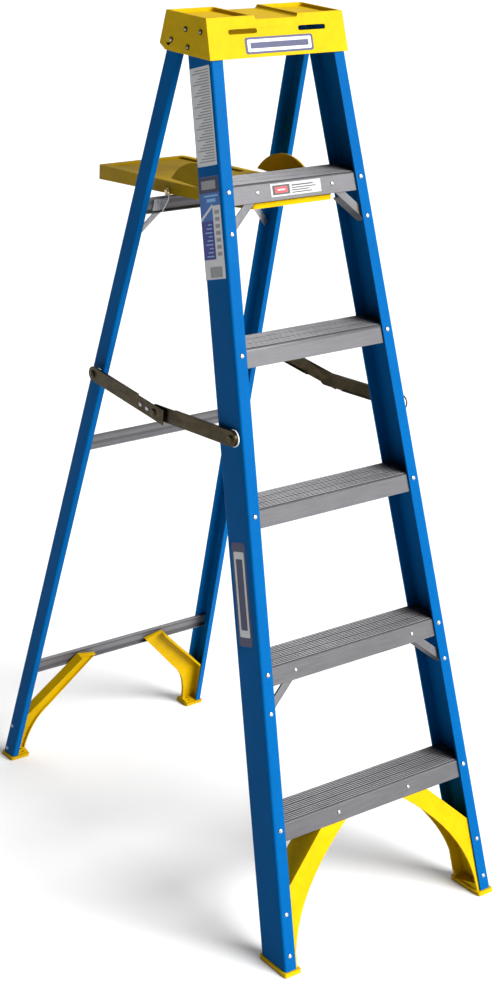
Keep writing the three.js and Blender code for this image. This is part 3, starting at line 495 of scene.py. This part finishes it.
# Fasteners across the ladder: name, shape of the head and shank, look. Their domes are as high
# as in the solids.
SIDE_PINS = [
    ("cap_bolt_1", (3.1, 2.4, 6), "zinc"),
    ("cap_bolt_2", (3.1, 2.4, 6), "zinc"),
    ("cap_bolt_3", (3.1, 2.4, 6), "zinc"),
    ("rear_hinge_bolt", (3.7, 2.6, 8), "zinc"),
    ("shelf_pin", (7, 3, 6), "brass"),
    ("spreader_pin_front", (8, 3, 16), "gold"),
    ("spreader_pin_rear", (8, 3, 20), "gold"),
    ("spreader_knee_rivet", (8, 2.6, 5.5), "gold"),
]
for stem, shape, look in SIDE_PINS:
    for side, sign in SIDES:
        node = f"{stem}_{side}"
        out = Vector((sign, 0, 0))
        place = (seat_of(node, out, shape[1]), out)
        rivets(f"{node}.dressed", [place], NODE_BODY[node], shape, look, node)

# Dark rings of painted shade around the cap's fasteners, for the shade in the recess round each
# head: name, height of the dome, outer radius of the ring.
SHADE_RINGS = [
    ("cap_bolt_1", 2.4, 5.2),
    ("cap_bolt_2", 2.4, 5.2),
    ("cap_bolt_3", 2.4, 5.2),
    ("rear_hinge_bolt", 2.6, 5),
]
SHADE_RING_WIDTH = 2.6
SHADE_RING_LIFT = 0.25
for stem, dome, ring in SHADE_RINGS:
    for side, sign in SIDES:
        node = f"{stem}_{side}"
        out = Vector((sign, 0, 0))
        bm = bmesh.new()
        hole = ring - SHADE_RING_WIDTH
        profile = [(hole, -0.1), (hole, 0.9), (ring - 1.2, 1.2), (ring, 0.5), (ring, -0.1)]
        lathe(bm, profile + profile[:1], seat_of(node, out, dome) + out * SHADE_RING_LIFT * MM, out)
        finish_mesh(bm, f"{node}_shade_ring", "painted_shade", NODE_BODY[node], TURNED_SMOOTHING)

# Two more rivets on each rear link of the spreaders, on the line from its knee to its rear pin.
KNEE = Vector((0, 35.7, 980))
REAR_PIN = Vector((0, 253.4, 998.3))
KNEE_DOME = 2.6
LINK_RIVET = (5, 2.2, 2)
LINK_RIVETS_FROM_KNEE = (22, 45)
for side, sign in SIDES:
    out = Vector((sign, 0, 0))
    seat = seat_of(f"spreader_knee_rivet_{side}", out, KNEE_DOME)
    towards_pin = (REAR_PIN - KNEE).normalized()
    places = [(seat + towards_pin * along * MM, out) for along in LINK_RIVETS_FROM_KNEE]
    rivets(f"spreader_link_rivets_{side}", places, f"spreader_rear_{side}", LINK_RIVET)

# Rivets that the solids leave out.
RAIL_RIVET = (4.6, 2, 3)
FRONT_FLANGE_RIVETS = ((254.7, 116), (260, 37), (226.6, 493.5), (167.6, 1368))  # across, height
REAR_WEB_RIVETS = (14.4, 80)  # along the rail
REAR_WEB_RIVET_DEPTH = 28
REAR_FLANGE_DEPTH = 38
REAR_FOOT_RIVETS = (60, 150)  # along the rail
REAR_FOOT_RIVET_INSET = 20
REAR_BRACE_BOTTOMS = (226, 805, 1341)  # heights of the braces' lower edges
REAR_BRACE_DEPTH = 34.2
REAR_BRACE_HALF = 16.5
REAR_BRACE_RIVET_INSET = 15
for side, sign in SIDES:
    places = []
    for x, z in FRONT_FLANGE_RIVETS:
        places.append((front_point(sign * x, 0, z / math.cos(FRONT_LEAN)), FRONT_OUT))
    rivets(f"front_flange_rivets_{side}", places, "front_section", RAIL_RIVET)
    places = []
    for s in REAR_WEB_RIVETS:
        out = Vector((sign, 0, 0))
        places.append((rear_point(sign * rear_half(s), REAR_WEB_RIVET_DEPTH, s), out))
    for s in REAR_FOOT_RIVETS:
        x = rear_half(s) - REAR_FOOT_RIVET_INSET
        places.append((rear_point(sign * x, REAR_FLANGE_DEPTH, s), REAR_OUT))
    for low in REAR_BRACE_BOTTOMS:
        start = (low - REAR_BRACE_DEPTH * math.sin(REAR_LEAN)) / math.cos(REAR_LEAN)
        s = start + REAR_BRACE_HALF
        x = rear_half(s) - REAR_BRACE_RIVET_INSET
        places.append((rear_point(sign * x, REAR_FLANGE_DEPTH, s), REAR_OUT))
    rivets(f"rear_rail_rivets_{side}", places, "rear_frame", RAIL_RIVET)

STEP_1_TOP = 283.7
STEP_PITCH = 304.8  # along the rails
STEP_FACE_DEPTH = 4.3
FACE_RIVET = (4.2, 1.9, 2.6)
FACE_RIVET_BELOW_TOP = 18
for k, x in ((1, 91.6), (2, 151.0), (5, 91.9)):  # step and half of the distance between rivets
    top = STEP_1_TOP + (k - 1) * STEP_PITCH * math.cos(FRONT_LEAN)
    edge = (top + STEP_FACE_DEPTH * math.sin(FRONT_LEAN)) / math.cos(FRONT_LEAN)
    s = edge - FACE_RIVET_BELOW_TOP
    places = [(front_point(sign * x, STEP_FACE_DEPTH, s), FRONT_OUT) for _, sign in SIDES]
    rivets(f"step_{k}_face_rivets", places, "front_section", FACE_RIVET)

# ---- labels and badges, blank ----
FILM = 0.25  # thickness of a layer of film
RULE = 0.15  # thickness of a printed rule
WEB_GAP = 0.05  # between the web and its first layer
CORNER_STEPS = 5


def plate(name, corners, thickness, look, round_off):
    """A thin film with rounded corners. The corners go round it as seen from outside."""
    a, b, _, d = corners
    out = (b - a).cross(d - a).normalized()
    ring = []
    for i, here in enumerate(corners):
        before, after = corners[i - 1], corners[(i + 1) % len(corners)]
        back = (before - here).normalized() * round_off * MM
        ahead = (after - here).normalized() * round_off * MM
        for k in range(CORNER_STEPS + 1):
            t = k / CORNER_STEPS * math.pi / 2
            ring.append(here + back * (1 - math.sin(t)) + ahead * (1 - math.cos(t)))
    bm = bmesh.new()
    low = [bm.verts.new(p) for p in ring]
    high = [bm.verts.new(p + out * thickness * MM) for p in ring]
    bm.faces.new(high)
    bm.faces.new(list(reversed(low)))
    for i in range(len(ring)):
        j = (i + 1) % len(ring)
        bm.faces.new((low[i], low[j], high[j], high[i]))
    finish_mesh(bm, name, look, "front_section")


def on_left_web(depth0, depth1, s0, s1, layer):
    """Corners of a field on the left front rail's web, over a number of layers of film."""
    lift = WEB_GAP + layer * FILM
    return [
        front_point(-front_half(s) - lift, depth, s)
        for depth, s in ((depth1, s0), (depth0, s0), (depth0, s1), (depth1, s1))
    ]


def on_face(x0, x1, s0, s1, depth):
    """Corners of a field on a face parallel to the front rails' front."""
    return [front_point(x, depth, s) for x, s in ((x0, s0), (x1, s0), (x1, s1), (x0, s1))]


def web_rules(name, look, layer, corner, first, pitch, height, ends):
    """A column of blank rules on the left web; ends holds the depths where each one ends."""
    for row, (start, end) in enumerate(ends):
        s = first + row * pitch
        corners = on_left_web(start, end, s, s + height, layer)
        plate(f"{name}_{row}", corners, RULE, look, corner)


# Films on the left front rail: name, ends in depth, ends along the rail, layer, look, corner.
WEB_FILMS = [
    ("size_label", 8, 70, 1560, 1743, 0, "film_grey", 2),
    ("lower_label", 8, 73, 1348, 1541, 0, "film_blue", 2),
    ("lower_label_head", 9, 72, 1510, 1540, 1, "film_navy", 1.5),
    ("lower_label_mark", 18, 63, 1517, 1533, 2, "film_dust", 1.5),
    ("lower_label_line", 14, 58, 1503, 1506, 1, "film_light", 0.8),
    ("lower_label_line_2", 22, 50, 1493, 1499, 1, "film_light", 0.8),
    ("lower_label_block", 34, 71, 1386, 1458, 1, "film_ink", 1),
    ("lower_label_column", 9, 34, 1386, 1486, 1, "film_grey", 1),
    ("lower_label_foot", 9, 72, 1349, 1386, 1, "film_grey", 1),
    ("lower_label_patch", 18, 56, 1352, 1372, 2, "film_dust", 1),
    ("rail_badge", 20, 62, 646, 848, 0, "film_navy", 6),
    ("rail_badge_field", 25, 57, 664, 830, 1, "film_pale", 3),
    ("rail_badge_core", 31, 51, 678, 816, 2, "film_navy", 2),
]
for name, d0, d1, s0, s1, layer, look, corner in WEB_FILMS:
    plate(name, on_left_web(d0, d1, s0, s1, layer), FILM, look, corner)

# A pale slope across the lower label, by its corners' depths and places along the rail.
SLOPE = [(34, 1483), (34, 1489), (72, 1464), (72, 1458)]
corners = [front_point(-front_half(s) - WEB_GAP - FILM, depth, s) for depth, s in SLOPE]
plate("lower_label_slope", corners, FILM, "film_grey", 0.5)

# Blank rules in place of the small print.
SIZE_RULES = [(12, 64 - 8 * (row * 5 % 4)) for row in range(34)]
COLUMN_RULES = [(14, 28)] * 7
BLOCK_RULES = [(40, 62 - 5 * (row % 3)) for row in range(9)]
web_rules("size_label_rule", "film_dust", 1, 0.5, 1567, 5.1, 2.2, SIZE_RULES)
web_rules("column_rule", "film_dust", 2, 0.6, 1392, 13, 7, COLUMN_RULES)
web_rules("block_rule", "film_light", 2, 0.4, 1391, 7.4, 2, BLOCK_RULES)

# Films on the top step's face and on the cap's: name, ends across, ends along, depth, look, corner.
FACE_FILMS = [
    ("step_label", -60, 63, 1487, 1511.5, 4.2, "film_white", 1.5),
    ("step_label_mark", -56, -14, 1490, 1508.5, 3.95, "film_black", 1),
    ("step_label_mark_field", -50, -20, 1493.5, 1505, 3.7, "film_red", 1.5),
    ("step_label_mark_bar", -44, -26, 1498, 1500.5, 3.45, "film_pale", 0.5),
    ("step_label_rule_1", -9, 44, 1504, 1506.5, 3.95, "film_black", 0.5),
    ("step_label_rule_2", -9, 50, 1499.5, 1501.5, 3.95, "film_black", 0.5),
    ("step_label_rule_3", -9, 34, 1495, 1497, 3.95, "film_black", 0.5),
    ("step_label_rule_4", -9, 40, 1490.5, 1492.5, 3.95, "film_black", 0.5),
    ("cap_badge", -82, 82, 1755, 1786, -4.25, "film_navy", 5),
    ("cap_badge_field", -77, 77, 1759, 1782, -4.5, "film_pale", 3),
    ("cap_badge_band", -70, 70, 1765, 1776, -4.75, "film_navy", 2),
]
for name, x0, x1, s0, s1, depth, look, corner in FACE_FILMS:
    plate(name, on_face(x0, x1, s0, s1, depth), FILM, look, corner)

# ---- floor ----
FLOOR_HALF = 14  # metres
FLOOR_DROP = 0.5
FLOOR_CELLS = 8
floor_mesh = bpy.data.meshes.new("floor")
floor_bm = bmesh.new()
bmesh.ops.create_grid(floor_bm, x_segments=FLOOR_CELLS, y_segments=FLOOR_CELLS, size=FLOOR_HALF)
floor_bm.to_mesh(floor_mesh)
floor_bm.free()
floor = bpy.data.objects.new("floor", floor_mesh)
bpy.context.scene.collection.objects.link(floor)
floor.location.z = -FLOOR_DROP * MM
paper = Nodes("pale_paper")
paper_tints = [(0.3, (0.77, 0.77, 0.77)), (0.7, (0.8, 0.8, 0.8))]
paper.link(paper.ramp(paper.noise(3, 2), paper_tints), "Base Color")
paper.shader.inputs["Roughness"].default_value = 0.9
paper.shader.inputs["Specular IOR Level"].default_value = 0.1
floor_mesh.materials.append(paper.material)

# ---- light: a sky that is brighter towards +X, and two soft suns ----
SKY_ENDS = (-0.8, 0.8)  # of the direction's X
SKY_STRENGTHS = (0.05, 0.4)
world = bpy.data.worlds.new("studio")
bpy.context.scene.world = world
world.use_nodes = True
sky = world.node_tree
background = sky.nodes["Background"]
direction = sky.nodes.new("ShaderNodeTexCoord").outputs["Generated"]
split = sky.nodes.new("ShaderNodeSeparateXYZ")
sky.links.new(direction, split.inputs["Vector"])
spread = sky.nodes.new("ShaderNodeMapRange")
spread.inputs["From Min"].default_value = SKY_ENDS[0]
spread.inputs["From Max"].default_value = SKY_ENDS[1]
spread.inputs["To Min"].default_value = SKY_STRENGTHS[0]
spread.inputs["To Max"].default_value = SKY_STRENGTHS[1]
sky.links.new(split.outputs["X"], spread.inputs["Value"])
sky.links.new(spread.outputs["Result"], background.inputs["Strength"])
background.inputs["Color"].default_value = (1, 1, 1, 1)


def sun(name, azimuth, elevation, strength, softness):
    """A soft far light: azimuth from -Y towards +X, elevation over the floor, all in degrees."""
    light = bpy.data.lights.new(name, "SUN")
    light.energy = strength
    light.angle = math.radians(softness)
    holder = bpy.data.objects.new(name, light)
    bpy.context.scene.collection.objects.link(holder)
    a, e = math.radians(azimuth), math.radians(elevation)
    towards = Vector((math.sin(a) * math.cos(e), -math.cos(a) * math.cos(e), math.sin(e)))
    holder.rotation_euler = towards.to_track_quat("Z", "Y").to_euler()


sun("key", azimuth=22, elevation=30, strength=7.0, softness=40)
sun("fill", azimuth=150, elevation=60, strength=0.9, softness=60)

# ---- camera, at the solved place and turn ----
CAMERA_AT = (-2.37336, -2.96277, 2.24867)  # metres
YAW, PITCH, ROLL = (math.radians(v) for v in (-38.623, -21.166, 2.749))
LENS, SENSOR_WIDTH = 72.02, 36
forward = Vector(
    (-math.sin(YAW) * math.cos(PITCH), math.cos(YAW) * math.cos(PITCH), math.sin(PITCH))
)
level = Vector((math.cos(YAW), math.sin(YAW), 0))
upward = level.cross(forward)
across = math.cos(ROLL) * level + math.sin(ROLL) * upward
upright = -math.sin(ROLL) * level + math.cos(ROLL) * upward
camera_data = bpy.data.cameras.new("camera")
camera_data.lens = LENS
camera_data.sensor_width = SENSOR_WIDTH
camera = bpy.data.objects.new("camera", camera_data)
bpy.context.scene.collection.objects.link(camera)
turn = Matrix((across, upright, -forward)).transposed().to_4x4()
camera.matrix_world = Matrix.Translation(CAMERA_AT) @ turn
bpy.context.scene.camera = camera
bpy.context.scene.view_settings.view_transform = "Standard"
